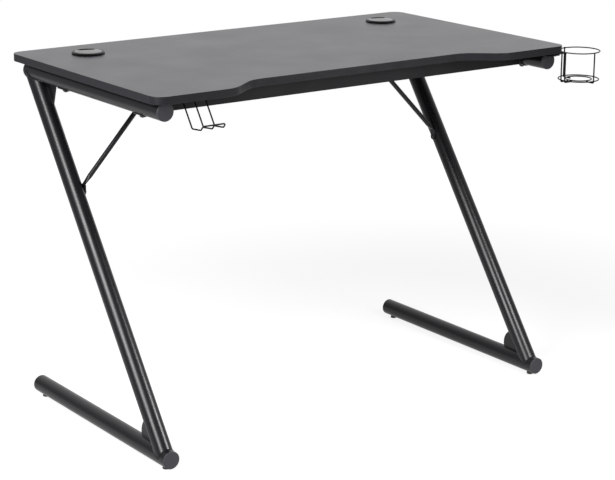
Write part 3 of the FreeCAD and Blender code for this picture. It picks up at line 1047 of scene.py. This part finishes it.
@dataclass
class CrossMembers:
    """Rails with their saddles and bolts, and the two braces."""

    shop: Shop
    saddle_outer: float = 19.85 * MM
    arc_steps: int = 14
    bolt: Screw = Screw(head_height=4 * MM, shank=6 * MM, recess=Recess.HEX,
                        recess_width=4.6 * MM, recess_depth=1.5 * MM, pitch=1.0 * MM)
    brace_screw: Screw = Screw(head_height=3.4 * MM, shank=5 * MM, recess=Recess.HEX,
                               recess_width=3.5 * MM, recess_depth=1.9 * MM, pitch=0.8 * MM)
    bead: Bead = Bead(radius=1.2 * MM)

    def build(self) -> None:
        """Make the rail welds, bolts and brace screws."""
        mesh = bmesh.new()
        for end in ENDS:
            for side, sign in SIDES.items():
                self.bead.add(mesh, self._rail_end(end, side, sign))
        self.shop.piece("rail_welds", mesh, DESK, Slot.COAT)
        fit_screws(self.shop, "frame_bolts", "rail_bolts", self.bolt)
        fit_screws(self.shop, "brace_bolts", "brace_screws", self.brace_screw)

    def _rail_end(self, end: str, side: str, sign: int) -> Ring:
        """Follow the weld at a rail's end.

        Args:
            end: which rail.
            side: which of its ends.
            sign: that side along X.

        Returns:
            Points down the rail's front on the saddle, across its underside and up its rear.
        """
        low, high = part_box(end + "_rail")
        tube_low, tube_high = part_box("top_tube_" + side)
        axis = (tube_low + tube_high) / 2
        reach = self.saddle_outer
        start = math.asin(max(-1.0, (low.z - axis.z) / reach))
        stop = math.asin(min(1.0, (high.z - 2 * self.bead.radius - axis.z) / reach))
        arc = [start + (stop - start) * i / self.arc_steps for i in range(self.arc_steps + 1)]

        def on_saddle(y: float, a: float) -> Vector:
            """Point on the saddle at a place along the tube."""
            return Vector((axis.x - sign * reach * math.cos(a), y, axis.z + reach * math.sin(a)))

        return [on_saddle(low.y, a) for a in reversed(arc)] + [on_saddle(high.y, a) for a in arc]

    def dress(self) -> None:
        """Finish the CAD nodes."""
        self.shop.dress(Slot.COAT, *(end + "_rail" for end in ENDS))
        for side in SIDES:
            self.shop.dress(Slot.COAT, "brace_" + side,
                            *("saddle_%s_%s" % (end, side) for end in ENDS))
        self.shop.dress(Slot.ZINC, "rail_nuts", "brace_nuts", "glide_nuts")


@dataclass
class WireFittings:
    """Cup holder and headset hook of coated wire."""

    shop: Shop
    wire: float = 3 * MM
    ring_wire: float = 2.5 * MM
    spot: Spot = Spot()
    cup_spot_shares: Point = (1.0, 1.0, 0.8)
    pair_drop: float = 0.6
    tip_shares: Point = (1.2, 1.0, 1.0)
    tip_setback: float = 0.45
    bead: Bead = Bead(radius=0.9 * MM, ripple=1.6 * MM)
    bead_aside: float = 0.36
    bead_drop: float = 0.2 * MM
    bead_setbacks: Tuple[float, float] = (11 * MM, 2 * MM)
    screw: Screw = Screw(head_height=2.6 * MM, shank=4 * MM, recess=Recess.CROSS,
                         recess_width=3.8 * MM, recess_depth=1.5 * MM, pitch=1.8 * MM)

    def build(self) -> None:
        """Make the welds and the plates' screws."""
        self._cup_welds()
        self._hook_welds()
        for name in ("cup", "hook"):
            fit_screws(self.shop, name + "_plate_screws", name + "_screws", self.screw)

    def _cup_welds(self) -> None:
        """Make the spots where the cup holder's rings cross its wires."""
        boxes = {name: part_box("cup_%s_ring" % name) for name in ("top", "bottom", "base")}
        middle = {name: (low + high) / 2 for name, (low, high) in boxes.items()}
        reach = {name: (high.x - low.x - self.ring_wire) / 2
                 for name, (low, high) in boxes.items()}
        gap = (self.ring_wire + self.wire) / 4
        pair_low, pair_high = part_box("cup_mount_wire")
        half = (pair_high.y - pair_low.y - self.wire) / 2
        crossings = [(-REARWARD, 0.0), (REARWARD, 0.0)]
        for shift in (-half, half):
            turn = math.asin(shift / reach["top"])
            crossings.append((Vector((-math.cos(turn), math.sin(turn), 0)), self.pair_drop))
        mesh = bmesh.new()
        for way, drop in crossings:
            for centre in (middle["bottom"] + way * (reach["bottom"] + gap) - UP * gap,
                           middle["top"] + way * (reach["top"] + gap) - UP * gap * drop,
                           middle["base"] + way * reach["base"] - UP * gap):
                self.spot.add(mesh, centre, self.cup_spot_shares)
        self.shop.piece("cup_welds", mesh, DESK, Slot.WIRE)

    def _hook_welds(self) -> None:
        """Make the beads that hold the hook's wires to its plate, and the spot at its tip."""
        low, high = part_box("hook_plate")
        wire_low, wire_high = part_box("hook_outer_wire")
        middle_low, middle_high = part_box("hook_middle_wire")
        centre = (middle_low.x + middle_high.x) / 2
        pitch = (wire_high.x - wire_low.x - self.wire) / 2
        z = low.z - self.bead_drop
        mesh = bmesh.new()
        for step in (-1, 0, 1):
            for face in (-1, 1):
                x = centre + step * pitch + face * self.wire * self.bead_aside
                self.bead.add(mesh, [Vector((x, high.y - back, z)) for back in self.bead_setbacks])
        tip_y = middle_low.y + self.wire * self.tip_setback
        self.spot.add(mesh, Vector((centre, tip_y, self._tip_height())), self.tip_shares)
        self.shop.piece("hook_welds", mesh, DESK, Slot.WIRE)

    def _tip_height(self) -> float:
        """Find the front end of the hook's middle wire.

        Returns:
            Height of its axis.
        """
        verts = self.shop.nodes["hook_middle_wire"].data.vertices
        front = min(vert.co.y for vert in verts)
        near = [vert.co.z for vert in verts if vert.co.y < front + self.wire]
        return max(near) - self.wire / 2

    def dress(self) -> None:
        """Finish the CAD nodes."""
        self.shop.dress(Slot.WIRE, "cup_top_ring", "cup_bottom_ring", "cup_base_ring",
                        "cup_upright_front", "cup_upright_rear", "cup_mount_wire", "cup_plate",
                        "hook_outer_wire", "hook_middle_wire", "hook_plate")


@dataclass(frozen=True)
class SoftBox:
    """One soft studio lamp, aimed at a point."""

    name: str
    place: Point
    aim: Point
    width: float
    height: float
    power: float
    spread: float = 180.0

    def build(self, spared: bpy.types.Collection) -> None:
        """Hang the lamp.

        Args:
            spared: the pieces that it doesn't light.
        """
        lamp = bpy.data.lights.new(self.name, "AREA")
        lamp.shape = "RECTANGLE"
        lamp.size, lamp.size_y = self.width, self.height
        lamp.energy = self.power
        lamp.spread = math.radians(self.spread)
        obj = bpy.data.objects.new(self.name, lamp)
        obj.location = self.place
        obj.visible_camera = False
        obj.light_linking.receiver_collection = spared
        way = Vector(self.aim) - Vector(self.place)
        obj.rotation_euler = way.to_track_quat("-Z", "Y").to_euler()
        bpy.context.scene.collection.objects.link(obj)


@dataclass
class Studio:
    """Camera, lamps, floor and surround."""

    shop: Shop
    spared: Tuple[str, ...] = ("desktop_board", "grommet_cap_left", "grommet_cap_right",
                               "grommet_sleeve_left", "grommet_sleeve_right")
    eye: Vector = Vector((-2.223634, -3.044383, 1.376797))
    right: Vector = Vector((0.81074351, -0.58537149, 0.00593037))
    upward: Vector = Vector((0.15349172, 0.22234127, 0.96281081))
    back: Vector = Vector((-0.56492057, -0.77968235, 0.27011142))
    lens: float = 108.1064
    sensor: float = 36.0
    fill: float = 0.3
    backdrop: Vector = Vector((0.6, 0.65, 0.65))
    room: float = 0.38
    room_edge: float = 0.45
    backdrop_edge: float = 0.85
    floor_reach: float = 2.6
    floor_points: int = 160
    floor_color: Rgb = (0.86, 0.86, 0.86)
    floor_glow: float = 1.12
    floor_gloss: float = 0.8
    glow_share: float = 0.72
    glow_start: float = 0.9
    glow_end: float = 2.1
    lamps: Tuple[SoftBox, ...] = (
        SoftBox("left_softbox", place=(-2.18, -0.86, 1.62), aim=(0.0, 0.0, 0.35), width=1.04,
                height=1.43, power=100.0),
        SoftBox("right_softbox", place=(0.42, -0.955, 0.845), aim=(-0.13, -0.31, -0.12),
                width=0.34, height=0.52, power=6.2, spread=97.0),
    )

    def build(self) -> None:
        """Set up the whole studio."""
        bpy.context.scene.view_settings.view_transform = "Standard"
        self._camera()
        self._surround()
        self._floor()
        spared = self._spared()
        for lamp in self.lamps:
            lamp.build(spared)
            LOG.info("hung %s", lamp.name)

    def _spared(self) -> bpy.types.Collection:
        """Gather the level faces, which would mirror a lamp as a white patch in some views.

        Returns:
            The pieces that only the surround lights.
        """
        spared = bpy.data.collections.new("spared")
        for name in self.spared:
            spared.objects.link(self.shop.nodes[name])
        for item in spared.collection_objects:
            item.light_linking.link_state = "EXCLUDE"
        return spared

    def _camera(self) -> None:
        """Stand the camera where the photograph was taken."""
        data = bpy.data.cameras.new("camera")
        data.lens, data.sensor_width, data.sensor_fit = self.lens, self.sensor, "HORIZONTAL"
        camera = bpy.data.objects.new("camera", data)
        axes = Matrix((self.right, self.upward, self.back)).transposed()
        camera.matrix_world = Matrix.Translation(self.eye) @ axes.to_4x4()
        bpy.context.scene.collection.objects.link(camera)
        bpy.context.scene.camera = camera

    @staticmethod
    def _shown(wiring: Wiring) -> Socket:
        """Pick the rays that show the surround itself, in view, in gloss or through glass.

        Args:
            wiring: wiring of the surround or the floor.

        Returns:
            The output that is 1 for them.
        """
        path = wiring.add("ShaderNodeLightPath").outputs
        seen = wiring.calc("MAXIMUM", path["Is Camera Ray"], path["Is Glossy Ray"])
        return wiring.calc("MAXIMUM", seen, path["Is Transmission Ray"])

    @staticmethod
    def _join(wiring: Wiring, output: str, share: Feed, *shaders: bpy.types.Node) -> None:
        """Join two shaders to the output of a tree.

        Args:
            wiring: wiring of the tree.
            output: Blender's name of the output's type.
            share: share of the second shader.
            shaders: the two shaders.
        """
        first, second = (node.outputs[0] for node in shaders)
        mix = wiring.add("ShaderNodeMixShader", {0: share, 1: first, 2: second})
        wiring.add(output, {0: mix.outputs[0]})

    def _surround(self) -> None:
        """Make a white surround that gives everything else a plain level of light."""
        world = bpy.data.worlds.new("surround")
        world.use_nodes = True
        world.cycles.sampling_method = "NONE"
        bpy.context.scene.world = world
        wiring = Wiring(world.node_tree)
        wiring.tree.nodes.clear()
        place = wiring.add("ShaderNodeTexCoord").outputs["Generated"]
        toward = wiring.vector("DOT_PRODUCT", "Value", place, self.backdrop.normalized())
        glossy = wiring.spread(toward, self.room, 1.0, self.room_edge, self.backdrop_edge)
        camera = wiring.add("ShaderNodeLightPath").outputs["Is Camera Ray"]
        strength = wiring.calc("MAXIMUM", glossy, camera)
        light = wiring.add("ShaderNodeBackground", {"Color": WHITE, "Strength": self.fill})
        white = wiring.add("ShaderNodeBackground", {"Color": WHITE, "Strength": strength})
        self._join(wiring, "ShaderNodeOutputWorld", self._shown(wiring), light, white)

    def _floor(self) -> None:
        """Lay a pale floor that keeps the shadow."""
        mesh = bmesh.new()
        bmesh.ops.create_circle(mesh, cap_ends=True, segments=self.floor_points,
                                radius=self.floor_reach)
        data = bpy.data.meshes.new("floor")
        mesh.to_mesh(data)
        mesh.free()
        data.materials.append(self._floor_finish())
        floor = bpy.data.objects.new("floor", data)
        bpy.context.scene.collection.objects.link(floor)

    def _floor_finish(self) -> bpy.types.Material:
        """Make the floor's finish, which glows more the further it is from the desk.

        Returns:
            The material.
        """
        material = bpy.data.materials.new("floor")
        material.use_nodes = True
        material.cycles.emission_sampling = "NONE"
        wiring = Wiring(material.node_tree)
        wiring.tree.nodes.clear()
        matt = wiring.add("ShaderNodeBsdfDiffuse", {"Color": (*self.floor_color, 1)})
        camera = wiring.add("ShaderNodeLightPath").outputs["Is Camera Ray"]
        strength = wiring.spread(camera, self.floor_gloss, self.floor_glow)
        glow = wiring.add("ShaderNodeEmission", {"Strength": strength})
        place = wiring.add("ShaderNodeTexCoord").outputs["Object"]
        away = wiring.vector("LENGTH", "Value", place)
        share = wiring.spread(away, self.glow_share, 1.0, self.glow_start, self.glow_end)
        share = wiring.calc("MULTIPLY", self._shown(wiring), share)
        self._join(wiring, "ShaderNodeOutputMaterial", share, matt, glow)
        return material


def main() -> None:
    """Build and dress every sub-assembly round the frame, then light it."""
    logging.basicConfig(level=logging.INFO, format="%(name)s: %(message)s")
    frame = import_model()
    shop = Shop(frame)
    assemblies = [Desktop(shop), *(SideFrame(shop, side) for side in SIDES), CrossMembers(shop),
                  WireFittings(shop)]
    for assembly in assemblies:
        assembly.build()
        assembly.dress()
        LOG.info("finished %s", type(assembly).__name__)
    Studio(shop).build()


if __name__ == "__main__":
    main()
